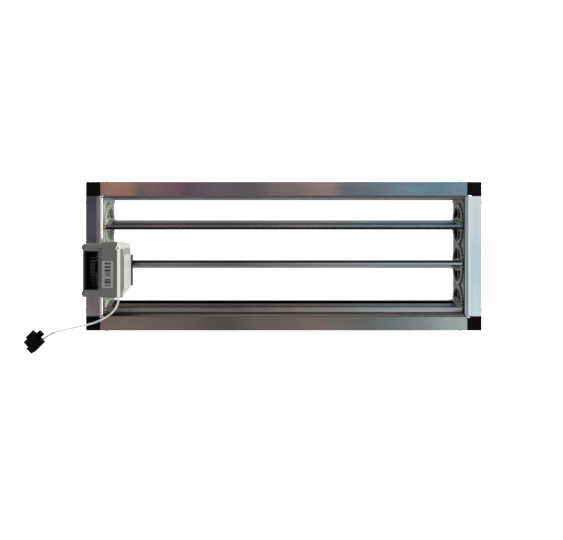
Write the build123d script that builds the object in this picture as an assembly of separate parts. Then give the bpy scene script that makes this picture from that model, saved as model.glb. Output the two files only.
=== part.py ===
from build123d import *
import os
from math import acos, cos, pi, radians, sin, sqrt, tan

# Volume control damper, millimetres. It lies on its back: X along the blades, Y across them,
# Z through the depth. The origin is the centre of the rear face, and the air passes along Z.

# ---- driving dimensions ----
WIDTH = 950.0               # outside, along the blades
HEIGHT = 357.0              # outside, across the blades
DEPTH = 125.0               # duct depth of the frame
WALL = 2.0                  # wall of the aluminium frame profile
FLANGE_FLAT = 25.0          # flat part of the flange, up to its step
FLANGE_BAND = 7.6           # stepped-down band beside the flat
STEP_DROP = 0.8             # how far the band lies below the flat
BEAD_R = 8.4                # outer radius of the rolled inner edge
BEAD_LEG = 0.5              # straight leg after the roll
CHAMBER_DEPTH = 10.0        # closed chamber under each flange, outside height
CORNER = 34.5               # side of the plastic corner pieces
CORNER_WALL = 2.5
TONGUE_LENGTH = 30.0
FRAME_SCREW_R = 2.0
FRAME_SCREW_HEAD_R = 4.0

MODULE = 2.5                # gear module
BLADE_TEETH = 40
DRIVE_TEETH = 40
PRESSURE_ANGLE = 20.0
BACKLASH = 0.30             # at the pitch circle
GEAR_WIDTH = 7.0
DRIVE_GEAR_WIDTH = 11.1
BLADE_COUNT = 3
GEAR_FLOOR = 0.6            # room between the lowest gear and the bottom profile
BLADE_TILT = 3.3            # how far the blades stand from fully open
ARCH = 9.2                  # blade's arched side, from its axis
FLAT_SIDE = 9.0             # blade's flat side, from its axis
HOLLOW = 1.2                # how deep the flat side is hollowed
NOSE_TOP = 0.6              # where the arch meets the nose
NOSE_EDGE = 0.8             # rounding there
SEAL_TOP = 4.0              # the seal's upper edge on the nose, below the axis
SEAL_PROUD = 1.0            # how far the seal stands out of the flat side
SEAL_THICK = 2.4
SEAL_STEM = 1.4
SEAL_STEM_LENGTH = 4.8
SPIGOT_R = 5.0
SPIGOT_LENGTH = 12.0
SKIN = 1.8                  # wall of the hollow blade
TENON = 3.0                 # how far the blade's end goes into its gear
COLLAR = 1.2                # wall of the gear's sleeves on the blade
COLLAR_LENGTH = 12.0
SPOKE = 4.0                 # width of the rib across each gear window
RIM = 10.0                  # from the tooth tips to the gear's windows
RECESS = 2.0                # depth of the gear's hollowed face
POCKET = 4.3                # how deep the gears are sunk in the cheeks
JOURNAL_R = 6.0
BUSH_R = 9.0
BOSS_R = 12.5
CHEEK = 3.0                 # wall of the gear cheeks
TUCK = 3.0                  # how far the cheek's tongue goes behind the rolled edges
BUSH_LENGTH = 12.3
LEDGE = 6.7                 # height of the cheek's top ledge
FILLER_WALL = 1.5

END_INSET = 22.0            # from the frame's outer side to the end of the gear yoke
YOKE_LENGTH = 40.0          # gear yoke, along the blades
YOKE_WEB = 8.0              # its web, beside the case
YOKE_UP = 55.9              # its reach over and under the drive axis
YOKE_DOWN = 64.4
YOKE_STEP = 2.0             # how far its front lies behind the front of the case
WINDOW_UP = 40.4            # open window over the drive gear, from the drive axis
WINDOW_DOWN = 48.6
CARRIER_WALL = 2.0
CARRIER_INSET = 1.0         # from the yoke's front to the carrier's
BODY_LENGTH = 35.0          # closed case, along the blades
CASE_UP = 60.8              # its reach over and under the drive axis
CASE_DOWN = 66.1
CASE_HEIGHT = 100.0         # how far it stands off the flange
CASE_SQUARE = 20.0          # straight part of its sides, at the front
CASE_DRAFT_UP = 7.4         # how much its sides draw in towards the rear
CASE_DRAFT_DOWN = 16.0
CASE_WALL = 3.0
CASE_EDGE = 3.0             # rounding of the case's corners
END_PLATE = 3.0
BOLT_R = 2.5
BOLT_HEAD_R = 4.6
BOLT_HEAD = 3.6
BOLT_INSET = 7.8            # bolt centre from the arm's outer faces
BOLT_GRIP = 8.0             # thread length in the case's posts
SHAFT_R = 7.0
SHAFT_SHOULDER = 3.0
SHAFT_TAIL = 14.0           # shaft length inside the case
COVER_BAND = 9.0            # straight part of the cover
COVER_RISE = 3.0            # sloping part
COVER_RIM = 2.2             # ledge round the foot of the slope
PLATFORM = 0.8              # raised pad on the cover
PLATFORM_UP = 27.4          # edges of the pad from the drive axis
PLATFORM_DOWN = 46.6
PLATFORM_INSET = 10.0       # from the case's front face
PLATFORM_REAR = 8.0         # from the case's rear face
STRIP = 4.2                 # height of the black strip behind the pad, over the slope
STRIP_WIDTH = 5.0
RIB = 1.6                   # ribs on the cover's upper slope
RIB_COUNT = 6
RIB_PITCH = 14.0
LUG_R = 4.6                 # screw lug on the seam of the cover
LUG_UP = 46.9               # from the drive axis
LUG_HEIGHT = 1.2
LUG_INSET = 1.5             # from the seam
SCREW_R = 1.5               # small screws
SCREW_HEAD_R = 2.8
SCREW_LENGTH = 12.0
LABEL_WIDTH = 26.0
LABEL_LENGTH = 61.0
LABEL_DROP = 12.7           # label's middle below the drive axis
LABEL_THICKNESS = 0.3
GEARBOX = (26.0, 70.0, 48.0)        # inner gearbox: length, height, depth
MOTOR_R = 12.0
MOTOR_LENGTH = 48.0
FOOT = 1.6                  # sheet of the foot bracket
FOOT_WIDTH = 18.0
FOOT_REACH = 9.0            # on the flange
FOOT_HEIGHT = 15.0          # up the yoke
FOOT_SCREW_R = 1.6
GROMMET_R = 5.0
GROMMET_LIP = 1.5
CORD_DEPTH = 75.0           # cable exit over the flange
CORD_INSET = 2.0            # cable exit from the seam
CORD_R = 2.3
CORE_R = 0.85

PLUG_PLACE = (-637.8, -225.6)
PLUG_ANGLE = 45.0           # the wire side's direction from +X
PLUG_LENGTH = 35.8          # body of the plug, along its wires
PLUG_WIDTH = 37.0
PLUG_HEIGHT = 17.0
PLUG_WALL = 2.0
PLUG_FIN = (24.6, 5.6, 11.0)        # side fin: length, reach, height
PLUG_LATCH = (12.8, 15.0, 13.0)     # block beside the wires: length, width, height
PLUG_NOSE = (7.4, 19.0, 12.0)

FIT = 0.06                  # radial clearance of running shafts
SNUG = 0.05                 # clearance of pieces that are fixed in each other
GAP = 0.3                   # clearance between pieces that stand side by side

# ---- derived sizes ----
FLANGE = FLANGE_FLAT + FLANGE_BAND + BEAD_R       # width of the flange
BAND_FRONT = DEPTH - STEP_DROP                    # front of the stepped band
BEAD_Z = BAND_FRONT - BEAD_R                      # centre of the roll
LEG_Z = BEAD_Z - BEAD_LEG                         # end of the roll's leg
AXIS_Z = DEPTH / 2
PITCH = MODULE * BLADE_TEETH                      # from blade axis to blade axis
TIP_R = MODULE * (BLADE_TEETH + 2) / 2
ROOT_CLEAR = PITCH / 2 - MODULE - GAP             # inside the next gear's tooth tips
LOW_AXIS_Y = -HEIGHT / 2 + WALL + GEAR_FLOOR + TIP_R
BLADE_Y = [LOW_AXIS_Y + PITCH * (BLADE_COUNT - 1 - i) for i in range(BLADE_COUNT)]
BLADE_NAME = ["top", "middle", "bottom"]
DRIVEN = 1                                        # the blade that the actuator turns
BLADE_SWEEP = PITCH / 2 - GAP                     # reach of a blade's edge from its axis
NOSE_REACH = sqrt(BLADE_SWEEP ** 2 - SEAL_TOP ** 2) - GAP
SEAT = NOSE_REACH - SEAL_THICK                    # bottom of the seal's notch
DRIVE_TIP_R = MODULE * (DRIVE_TEETH + 2) / 2
DRIVE_Z = AXIS_Z + MODULE * (BLADE_TEETH + DRIVE_TEETH) / 2
DRIVE_Y = BLADE_Y[DRIVEN]
CHEEK_X = WIDTH / 2 - FLANGE + GAP                # inner face of the cheeks
POCKET_X = CHEEK_X + POCKET                       # floor of their gear pockets
GEAR_OUT = POCKET_X - 2 * GAP                     # outer face of the blade gears
GEAR_IN = GEAR_OUT - GEAR_WIDTH                   # inner face, where the blades end
TENON_X = GEAR_IN + TENON
BUSH_IN = GEAR_OUT + GAP
BLADE_ANGLE = [BLADE_TILT if i % 2 == 0 else -BLADE_TILT for i in range(BLADE_COUNT)]
DRIVE_RIGHT = -(GEAR_IN + GAP)
DRIVE_LEFT = DRIVE_RIGHT - DRIVE_GEAR_WIDTH
CAVITY_R = DRIVE_TIP_R + 1.0
CASE_FRONT = DEPTH + CASE_HEIGHT
CASE_TOP = DRIVE_Y + CASE_UP
CASE_BOTTOM = DRIVE_Y - CASE_DOWN
CASE_LEFT = END_INSET - WIDTH / 2                 # end of the yoke's arms
CASE_SEAM = CASE_LEFT + YOKE_LENGTH               # between the yoke and the case
CASE_RIGHT = CASE_SEAM + BODY_LENGTH              # between the case and its cover
YOKE_TOP = DRIVE_Y + YOKE_UP
YOKE_BOTTOM = DRIVE_Y - YOKE_DOWN
YOKE_FRONT = CASE_FRONT - YOKE_STEP
WINDOW_RIGHT = CASE_SEAM - YOKE_WEB
WINDOW_TOP = DRIVE_Y + WINDOW_UP
WINDOW_BOTTOM = DRIVE_Y - WINDOW_DOWN
CORD_X = CASE_RIGHT - CORD_INSET
CORD_Z = DEPTH + CORD_DEPTH


def box(x0, x1, y0, y1, z0, z1):
    """Box between two corners."""
    size = (abs(x1 - x0), abs(y1 - y0), abs(z1 - z0))
    return Pos((x0 + x1) / 2, (y0 + y1) / 2, (z0 + z1) / 2) * Box(*size)


def rod_x(x0, x1, y, z, r):
    """Cylinder along X."""
    return Pos((x0 + x1) / 2, y, z) * Rot(0, 90, 0) * Cylinder(r, abs(x1 - x0))


def rod_y(x, y0, y1, z, r):
    """Cylinder along Y."""
    return Pos(x, (y0 + y1) / 2, z) * Rot(90, 0, 0) * Cylinder(r, abs(y1 - y0))


def along_x(face, x0, x1):
    """Extrude a sketch drawn in Y and Z, from x0 to x1."""
    plane = Plane(origin=(min(x0, x1), 0, 0), x_dir=(0, 1, 0), z_dir=(1, 0, 0))
    return extrude(plane * face, abs(x1 - x0))


# ---- frame ----
def rect(u0, u1, v0, v1):
    """Flat rectangle between two corners of a sketch."""
    return Pos((u0 + u1) / 2, (v0 + v1) / 2) * Rectangle(u1 - u0, v1 - v0)


def flange_flat(z_mirror):
    """Section of one flange up to the bead: closed chamber and stepped band."""
    low = DEPTH - CHAMBER_DEPTH
    chamber = rect(0, FLANGE_FLAT, low, DEPTH)
    chamber -= rect(WALL, FLANGE_FLAT - WALL, low + WALL, DEPTH - WALL)
    band = rect(FLANGE_FLAT - WALL, FLANGE_FLAT + FLANGE_BAND, BAND_FRONT - WALL, BAND_FRONT)
    section = chamber + band
    return section if not z_mirror else Pos(0, DEPTH) * mirror(section, Plane.XZ)


def flange_bead(z_mirror):
    """Section of the rolled inner edge with its short leg."""
    start = FLANGE_FLAT + FLANGE_BAND
    ring = Pos(start, BEAD_Z) * (Circle(BEAD_R) - Circle(BEAD_R - WALL))
    quarter = ring & rect(start, start + BEAD_R, BEAD_Z, BEAD_Z + BEAD_R)
    section = quarter + rect(FLANGE - WALL, FLANGE, LEG_Z, BEAD_Z)
    return section if not z_mirror else Pos(0, DEPTH) * mirror(section, Plane.XZ)


def frame_profile(flat_length, bead_length):
    """C profile along X with its web at Y = 0 and its flanges reaching to +Y."""
    flat = rect(0, WALL, 0, DEPTH) + flange_flat(False) + flange_flat(True)
    bead = flange_bead(False) + flange_bead(True)
    body = along_x(flat, -flat_length / 2, flat_length / 2)
    body += along_x(bead, -bead_length / 2, bead_length / 2)
    for end in (-1, 1):
        for z in SCREW_Z:
            body -= rod_y(end * (flat_length / 2 - SCREW_INSET), -1, WALL + 1, z, FRAME_SCREW_R + SNUG)
    return body


TONGUE = CHAMBER_DEPTH - 2 * WALL - 2 * GAP       # thickness of a corner's tongue
SCREW_Z = (CHAMBER_DEPTH / 2, DEPTH - CHAMBER_DEPTH / 2)
SCREW_INSET = TONGUE_LENGTH / 2
LONG_FLAT = WIDTH - 2 * CORNER
SHORT_FLAT = HEIGHT - 2 * CORNER
LONG_BEAD = WIDTH - 2 * FLANGE - 2 * GAP
SHORT_BEAD = HEIGHT - 2 * (FLANGE - BEAD_R) - 2 * GAP
SIDES = {
    "bottom": Pos(0, -HEIGHT / 2, 0),
    "top": Pos(0, HEIGHT / 2, 0) * Rot(0, 0, 180),
    "left": Pos(-WIDTH / 2, 0, 0) * Rot(0, 0, -90),
    "right": Pos(WIDTH / 2, 0, 0) * Rot(0, 0, 90),
}


def side_profile(side):
    """One frame profile in its place; the left one has a pocket for the drive gear."""
    if side in ("top", "bottom"):
        return SIDES[side] * frame_profile(LONG_FLAT, LONG_BEAD)
    profile = SIDES[side] * frame_profile(SHORT_FLAT, SHORT_BEAD)
    if side == "right":
        return profile
    return profile - drive_pocket() - foot_screw(SNUG)


def drive_pocket():
    """Room for the drive gear where it dips past the left flange."""
    return rod_x(DRIVE_LEFT - GAP, DRIVE_RIGHT + GAP, DRIVE_Y, DRIVE_Z, CAVITY_R)


def corner_piece(sx, sy):
    """Plastic corner: two pads joined by an L wall, with four tongues in the profiles."""
    lift = WALL + GAP
    body = None
    for z_mid in SCREW_Z:
        front = z_mid > AXIS_Z
        z0, z1 = (z_mid - TONGUE / 2, DEPTH) if front else (0, z_mid + TONGUE / 2)
        pad = box(0, CORNER, 0, CORNER, z0, z1)
        reach = CORNER + TONGUE_LENGTH
        wide = FLANGE_FLAT - WALL - GAP
        tongue = box(CORNER / 2, reach, lift, wide, z_mid - TONGUE / 2, z_mid + TONGUE / 2)
        tongue += box(lift, wide, CORNER / 2, reach, z_mid - TONGUE / 2, z_mid + TONGUE / 2)
        pad += tongue
        hole = CORNER + SCREW_INSET
        pad -= rod_y(hole, -1, CORNER, z_mid, FRAME_SCREW_R + SNUG)
        pad -= rod_x(-1, CORNER, hole, z_mid, FRAME_SCREW_R + SNUG)
        body = pad if body is None else body + pad
    body += box(0, CORNER_WALL, 0, CORNER, 0, DEPTH)
    body += box(0, CORNER, 0, CORNER_WALL, 0, DEPTH)
    body += box(CORNER_WALL, CORNER - GAP, CORNER / 2 - 1, CORNER / 2 + 1, 0, DEPTH)
    notch = FLANGE_FLAT + FLANGE_BAND - GAP
    body -= box(notch, CORNER + 1, notch, CORNER + 1, -1, DEPTH + 1)
    body = fillet(body.edges().filter_by(Axis.Z).filter_by_position(Axis.X, -0.01, 0.01)
                  .filter_by_position(Axis.Y, -0.01, 0.01), 1.2)
    if sx > 0:
        body = mirror(body, Plane.YZ)
    if sy > 0:
        body = mirror(body, Plane.XZ)
    return Pos(sx * WIDTH / 2, sy * HEIGHT / 2, 0) * body


def frame_screws():
    """Pan-head screws through the webs into the tongues, two at each end of each profile."""
    screws = []
    for side, flat in (("bottom", LONG_FLAT), ("top", LONG_FLAT), ("left", SHORT_FLAT), ("right", SHORT_FLAT)):
        for end in (-1, 1):
            for z in SCREW_Z:
                x = end * (flat / 2 - SCREW_INSET)
                screw = rod_y(x, -1.4, 0, z, FRAME_SCREW_HEAD_R)
                screw += rod_y(x, 0, FLANGE_FLAT / 2, z, FRAME_SCREW_R)
                screws.append(SIDES[side] * screw)
    return Compound(screws)


def filler_strip():
    """Channel that closes the space between the top blade's gear and the top profile."""
    half = CHEEK_X - GAP
    y0 = HEIGHT / 2 - FLANGE + WALL + GAP
    y1 = HEIGHT / 2 - WALL - GAP
    z0 = CHAMBER_DEPTH + GAP
    channel = rect(y0, y1, z0, DEPTH - z0)
    channel -= rect(y0 + FILLER_WALL, y1 + 1, z0 + FILLER_WALL, DEPTH - z0 - FILLER_WALL)
    return along_x(channel, -half, half)


def cheek(side):
    """Moulded tray that closes a side profile, with a pocket and a bush for each gear."""
    reach = HEIGHT / 2 - WALL - GAP
    leg = DEPTH - LEG_Z + GAP
    beside = HEIGHT / 2 - CORNER - GAP
    back = min(POCKET_X + CHEEK, WIDTH / 2 - CORNER - GAP)
    plate = box(CHEEK_X, back, -reach, reach, leg, DEPTH - leg)
    plate += box(CHEEK_X, POCKET_X + CHEEK, -beside, beside, leg, DEPTH - leg)
    ledge_y = BLADE_Y[0] + TIP_R + 1.0
    plate += box(GEAR_IN + GAP, CHEEK_X, ledge_y, ledge_y + LEDGE, leg, DEPTH - leg)
    for y in BLADE_Y:
        plate -= rod_x(CHEEK_X - 1, POCKET_X, y, AXIS_Z, TIP_R + 2 * GAP)
    tuck = HEIGHT / 2 - FLANGE - GAP
    tongue = POCKET_X + GAP
    plate += box(tongue, tongue + WALL, -tuck, tuck, leg - TUCK, DEPTH - leg + TUCK)
    for y in BLADE_Y:
        plate += rod_x(POCKET_X + CHEEK, BUSH_IN + BUSH_LENGTH, y, AXIS_Z, BOSS_R)
    for y in BLADE_Y:
        ring = rod_x(POCKET_X - 1, POCKET_X + 1.0, y, AXIS_Z, WINDOW_R)
        ring -= rod_x(POCKET_X - 1, POCKET_X + 1.0, y, AXIS_Z, BOSS_R + WALL)
        plate -= ring
        plate -= rod_x(CHEEK_X, BUSH_IN + BUSH_LENGTH + 1, y, AXIS_Z, BUSH_R + SNUG)
    if side == "right":
        return plate
    return mirror(plate, Plane.YZ) - drive_pocket()


def bush(side, y):
    """Plain bush of a blade journal; its end face takes the gear's thrust."""
    sleeve = rod_x(BUSH_IN, BUSH_IN + BUSH_LENGTH, y, AXIS_Z, BUSH_R)
    sleeve -= rod_x(BUSH_IN - 1, BUSH_IN + BUSH_LENGTH + 1, y, AXIS_Z, JOURNAL_R + FIT)
    return sleeve if side == "right" else mirror(sleeve, Plane.YZ)


# ---- blades ----
def involute(angle):
    return tan(angle) - angle


def gear_face(teeth, first_angle):
    """Toothed outline in Y and Z; each flank is two chords of the involute."""
    pitch_r = MODULE * teeth / 2
    base_r = pitch_r * cos(radians(PRESSURE_ANGLE))
    root_r = pitch_r - 1.25 * MODULE
    tip_r = pitch_r + MODULE
    half = pi / (2 * teeth) - BACKLASH / (4 * pitch_r)
    at_base = half + involute(radians(PRESSURE_ANGLE))
    at_tip = at_base - involute(acos(base_r / tip_r))
    outline = []
    for n in range(teeth):
        middle = radians(first_angle) + 2 * pi * n / teeth
        for r, a in ((root_r, -at_base), (pitch_r, -half), (tip_r, -at_tip),
                     (tip_r, at_tip), (pitch_r, half), (root_r, at_base)):
            outline.append((r * cos(middle + a), r * sin(middle + a)))
    return make_face(Polyline(*outline, close=True))


def blade_outline():
    """Outer section of the aluminium blade: arched on one side, flat on the other."""
    arch = ThreePointArc((NOSE_TOP, -NOSE_REACH), (ARCH, 0), (NOSE_TOP, NOSE_REACH))
    nose = [(NOSE_TOP, NOSE_REACH), (-SEAL_TOP, NOSE_REACH), (-SEAL_TOP, SEAT), (-FLAT_SIDE, SEAT)]
    front = Polyline(*nose)
    flat = ThreePointArc((-FLAT_SIDE, SEAT), (HOLLOW - FLAT_SIDE, 0), (-FLAT_SIDE, -SEAT))
    rear = Polyline(*[(t, -c) for t, c in nose])
    outline = make_face(Curve() + [arch, front, flat, rear])
    noses = outline.vertices().filter_by_position(Axis.X, NOSE_TOP - 0.01, NOSE_TOP + 0.01)
    return fillet(noses, NOSE_EDGE)


def seal_section():
    """Rubber seal in the corner of the nose, with a stem in the blade's slot."""
    strip = rect(-FLAT_SIDE - SEAL_PROUD, -SEAL_TOP - SNUG, SEAT + SNUG, BLADE_SWEEP)
    strip = strip & Circle(BLADE_SWEEP)
    strip = fillet(strip.vertices().sort_by(Axis.Y)[-1:], 0.9)
    middle = -(SEAL_TOP + FLAT_SIDE) / 2
    start = SEAT - SEAL_STEM_LENGTH
    return strip + rect(middle - SEAL_STEM / 2, middle + SEAL_STEM / 2, start, SEAT + SNUG)


def blade_section():
    """Hollow section: spine bore, two chambers and a slot for each seal's stem."""
    section = blade_outline()
    near = SPIGOT_R + 2 * SKIN
    far = SEAT - SEAL_STEM_LENGTH - SKIN
    tall = ARCH + FLAT_SIDE
    chambers = offset(section, -SKIN) & rect(-tall, tall, -far, far)
    section -= chambers - rect(-tall, tall, -near, near)
    section -= Circle(SPIGOT_R + SNUG)
    middle = -(SEAL_TOP + FLAT_SIDE) / 2
    stem = SEAL_STEM / 2 + SNUG
    slot = SEAT - SEAL_STEM_LENGTH - SNUG
    section -= rect(middle - stem, middle + stem, slot, SEAT + 1)
    section -= rect(middle - stem, middle + stem, -SEAT - 1, -slot)
    return section


def at_blade(i, solid):
    """Turn a blade's piece to its resting angle and put it on its axis; odd blades are flipped."""
    flipped = mirror(solid, Plane.XZ) if i % 2 else solid
    return Pos(0, BLADE_Y[i], AXIS_Z) * Rot(BLADE_ANGLE[i], 0, 0) * flipped


def blade(i):
    """Blade whose ends keep inside the root circle where they enter the gears."""
    body = along_x(blade_section(), -TENON_X, TENON_X)
    for sign in (-1, 1):
        body -= along_x(Circle(PITCH) - Circle(ROOT_CLEAR), sign * GEAR_IN, sign * (TENON_X + 1))
    return at_blade(i, body)


def seal(i, edge):
    """Seal of one edge of a blade; the section is the same at the front and the rear."""
    strip = along_x(seal_section(), -GEAR_IN + GAP, GEAR_IN - GAP)
    return at_blade(i, strip if edge == "front" else mirror(strip, Plane.XY))


WINDOW_R = TIP_R - RIM
WINDOW_LOW = ARCH + COLLAR + GAP


def gear_windows(radius, low, depth_from, depth_to):
    """The two lens-shaped openings of a blade gear, over and under the blade."""
    disc = rod_x(depth_from, depth_to, 0, 0, radius)
    return disc - box(depth_from - 1, depth_to + 1, -low, low, -radius - 1, radius + 1)


def blade_gear(i, side):
    """Gear at one end of a blade, with its socket, journal, spigot, windows and sleeves."""
    first = 90.0 if i % 2 == 0 else 90.0 + 180.0 / BLADE_TEETH
    teeth = Rot(-BLADE_ANGLE[i], 0, 0) * along_x(gear_face(BLADE_TEETH, first - 90.0), GEAR_IN, GEAR_OUT)
    body = mirror(teeth, Plane.XZ) if i % 2 else teeth
    body -= gear_windows(WINDOW_R, WINDOW_LOW, GEAR_IN - 1, GEAR_IN + RECESS)
    through = gear_windows(WINDOW_R - SPOKE, WINDOW_LOW + SPOKE, GEAR_IN, GEAR_OUT + 1)
    through -= box(GEAR_IN, GEAR_OUT + 1, -TIP_R, TIP_R, -SPOKE / 2, SPOKE / 2)
    body -= through
    ring = gear_windows(WINDOW_R + RECESS, WINDOW_LOW, GEAR_IN - GAP, GEAR_IN)
    ring -= rod_x(GEAR_IN - 1, GEAR_IN, 0, 0, WINDOW_R)
    body += ring
    body += sleeves()
    body -= along_x(offset(blade_outline() & Circle(ROOT_CLEAR), SNUG), GEAR_IN - 1, TENON_X + SNUG)
    body += rod_x(GEAR_OUT, BUSH_IN + BUSH_LENGTH, 0, 0, JOURNAL_R)
    body += rod_x(GEAR_IN - SPIGOT_LENGTH, GEAR_OUT, 0, 0, SPIGOT_R)
    if side == "left":
        body = mirror(body, Plane.YZ)
    return at_blade(i, body)


def sleeves():
    """Two thin shells on the blade's end, one over its arch and one under its flat side."""
    shell = offset(blade_outline(), COLLAR) - offset(blade_outline(), SNUG)
    over = shell & rect(NOSE_TOP + 1.0, ARCH + 2 * COLLAR, -SEAT, SEAT)
    reach = SEAT - 2 * SKIN
    under = shell & rect(-FLAT_SIDE - 2 * COLLAR, -SEAL_TOP, -reach, reach)
    start = GEAR_IN - COLLAR_LENGTH
    return along_x(over, start, GEAR_IN) + along_x(under, start, GEAR_IN)


# ---- actuator ----
SHAFT_END = CASE_SEAM + CASE_WALL + SHAFT_TAIL
BOLTS = [
    (YOKE_TOP - BOLT_INSET, YOKE_FRONT - BOLT_INSET),
    (YOKE_BOTTOM + BOLT_INSET, YOKE_FRONT - BOLT_INSET),
    (YOKE_TOP - BOLT_R - WALL, DEPTH + BOLT_INSET),
    (YOKE_BOTTOM + BOLT_INSET, DEPTH + BOLT_INSET),
]
BOLT_POSTS = BOLT_R + 2.0
BOLT_END = CASE_SEAM + CASE_WALL + BOLT_GRIP


def bolt_holes(x0, x1):
    holes = [rod_x(x0, x1, y, z, BOLT_R + SNUG) for y, z in BOLTS]
    return Compound(holes)


def drive_gear():
    gear = Pos(0, DRIVE_Y, DRIVE_Z) * along_x(gear_face(DRIVE_TEETH, -90.0), DRIVE_LEFT, DRIVE_RIGHT)
    for x, inward in ((DRIVE_LEFT, CHEEK), (DRIVE_RIGHT, -CHEEK)):
        recess = rod_x(x, x + inward, DRIVE_Y, DRIVE_Z, DRIVE_TIP_R - RIM)
        recess -= rod_x(x, x + inward, DRIVE_Y, DRIVE_Z, 2 * SHAFT_R)
        gear -= recess
    return gear - rod_x(DRIVE_LEFT - 1, DRIVE_RIGHT + 1, DRIVE_Y, DRIVE_Z, SHAFT_R + SNUG)


def output_shaft():
    """Shaft through the yoke into the case, with a collar on each side of the gear."""
    shaft = rod_x(CASE_LEFT - END_PLATE, SHAFT_END, DRIVE_Y, DRIVE_Z, SHAFT_R)
    for x, out in ((DRIVE_LEFT - SNUG, -1), (DRIVE_RIGHT + SNUG, 1)):
        shaft += rod_x(x, x + out * SHAFT_SHOULDER / 2, DRIVE_Y, DRIVE_Z, SHAFT_R + SHAFT_SHOULDER)
    return shaft


def shaft_bore(x0, x1):
    return rod_x(x0, x1, DRIVE_Y, DRIVE_Z, SHAFT_R + FIT)


def gear_yoke():
    """Cast yoke: two arms round the drive gear, joined by a web beside the case."""
    body = box(CASE_LEFT, CASE_SEAM, YOKE_BOTTOM, YOKE_TOP, DEPTH, YOKE_FRONT)
    body = fillet(body.edges().filter_by(Axis.X), CASE_EDGE)
    body -= box(CASE_LEFT - 1, WINDOW_RIGHT, WINDOW_BOTTOM, WINDOW_TOP, DEPTH - 1, YOKE_FRONT + 1)
    body -= rod_x(CASE_LEFT - 1, WINDOW_RIGHT, DRIVE_Y, DRIVE_Z, CAVITY_R)
    body -= shaft_bore(WINDOW_RIGHT - 1, CASE_SEAM + 1)
    return body - bolt_holes(CASE_LEFT - 1, CASE_SEAM + 1)


def gear_carrier():
    """Black moulded lining of the yoke's window, with the bearings of the drive gear."""
    x0, x1 = CASE_LEFT + SNUG, WINDOW_RIGHT - SNUG
    y0, y1 = WINDOW_BOTTOM + SNUG, WINDOW_TOP - SNUG
    w = CARRIER_WALL
    body = box(x0, x1, y0, y1, DEPTH + CASE_WALL, YOKE_FRONT - CARRIER_INSET)
    body -= box(x0 + w, x1 - w, y0 + w, y1 - w, DEPTH, YOKE_FRONT)
    body -= rod_x(x0 + w, x1 - w, DRIVE_Y, DRIVE_Z, CAVITY_R)
    return body - shaft_bore(x0 - 1, x1 + 1)


def end_plate():
    plate = box(CASE_LEFT - END_PLATE, CASE_LEFT, YOKE_BOTTOM, YOKE_TOP, DEPTH, YOKE_FRONT)
    plate = fillet(plate.edges().filter_by(Axis.X), CASE_EDGE)
    plate -= shaft_bore(CASE_LEFT - END_PLATE - 1, CASE_LEFT + 1)
    return plate - bolt_holes(CASE_LEFT - END_PLATE - 1, CASE_LEFT + 1)


def end_bolts():
    """Socket screws that hold the end plate, the yoke and the case together."""
    bolts = []
    face = CASE_LEFT - END_PLATE
    for y, z in BOLTS:
        head = rod_x(face - BOLT_HEAD, face, y, z, BOLT_HEAD_R)
        socket = Pos(y, z) * RegularPolygon(BOLT_R, 6)
        head -= along_x(socket, face - BOLT_HEAD, face - BOLT_HEAD / 2)
        bolts.append(head + rod_x(face, BOLT_END, y, z, BOLT_R))
    return Compound(bolts)


def case_outline(inset=0.0):
    """Case section in Y and Z: square at the front, drawn in towards the rear."""
    knee = CASE_FRONT - CASE_SQUARE
    low, top = CASE_BOTTOM + inset, CASE_TOP - inset
    points = [(low, CASE_FRONT - inset), (top, CASE_FRONT - inset), (top, knee),
              (top - CASE_DRAFT_UP, DEPTH + inset), (low + CASE_DRAFT_DOWN, DEPTH + inset), (low, knee)]
    face = make_face(Polyline(*points, close=True))
    corners = face.vertices().filter_by_position(Axis.Y, DEPTH, DEPTH + inset + 0.1)
    corners += face.vertices().filter_by_position(Axis.Y, CASE_FRONT - inset - 0.1, CASE_FRONT)
    return fillet(corners, CASE_EDGE if not inset else CASE_EDGE / 2)


def gland_pad(x0, x1):
    """Flat pad under the case where the cable leaves it."""
    half = GROMMET_R + WALL
    left, right = max(x0, CORD_X - half), min(x1, CORD_X + half)
    return box(left, right, CASE_BOTTOM, CASE_BOTTOM + CASE_WALL, CORD_Z - half, CASE_FRONT - CASE_EDGE)


def gland_hole():
    """Hole of the grommet, wider inside the wall for its inner lip."""
    low = CASE_BOTTOM + CASE_WALL
    hole = rod_y(CORD_X, CASE_BOTTOM - 1, low + 1, CORD_Z, GROMMET_R)
    return hole + rod_y(CORD_X, low, low + 2 * CASE_WALL, CORD_Z, GROMMET_R + GROMMET_LIP + GAP)


def housing():
    """Cast case, open towards its cover, with the shaft's bearing and posts for the bolts."""
    w = CASE_WALL
    shell = along_x(case_outline(), CASE_SEAM, CASE_RIGHT)
    shell -= along_x(case_outline(w), CASE_SEAM + w, CASE_RIGHT + 1)
    shell += rod_x(CASE_SEAM + w, CASE_SEAM + w + SHAFT_SHOULDER, DRIVE_Y, DRIVE_Z, SHAFT_R + SHAFT_SHOULDER)
    for y, z in BOLTS:
        post = rod_x(CASE_SEAM + w, BOLT_END + w, y, z, BOLT_POSTS)
        shell += post & along_x(case_outline(), CASE_SEAM, CASE_RIGHT)
    shell += gland_pad(CASE_SEAM, CASE_RIGHT)
    shell -= gland_hole()
    shell -= shaft_bore(CASE_SEAM - 1, CASE_SEAM + w + SHAFT_SHOULDER + 1)
    return shell - bolt_holes(CASE_SEAM - 1, BOLT_END + SNUG)


GEARBOX_X = CASE_SEAM + CASE_WALL + SHAFT_SHOULDER + SNUG


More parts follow.
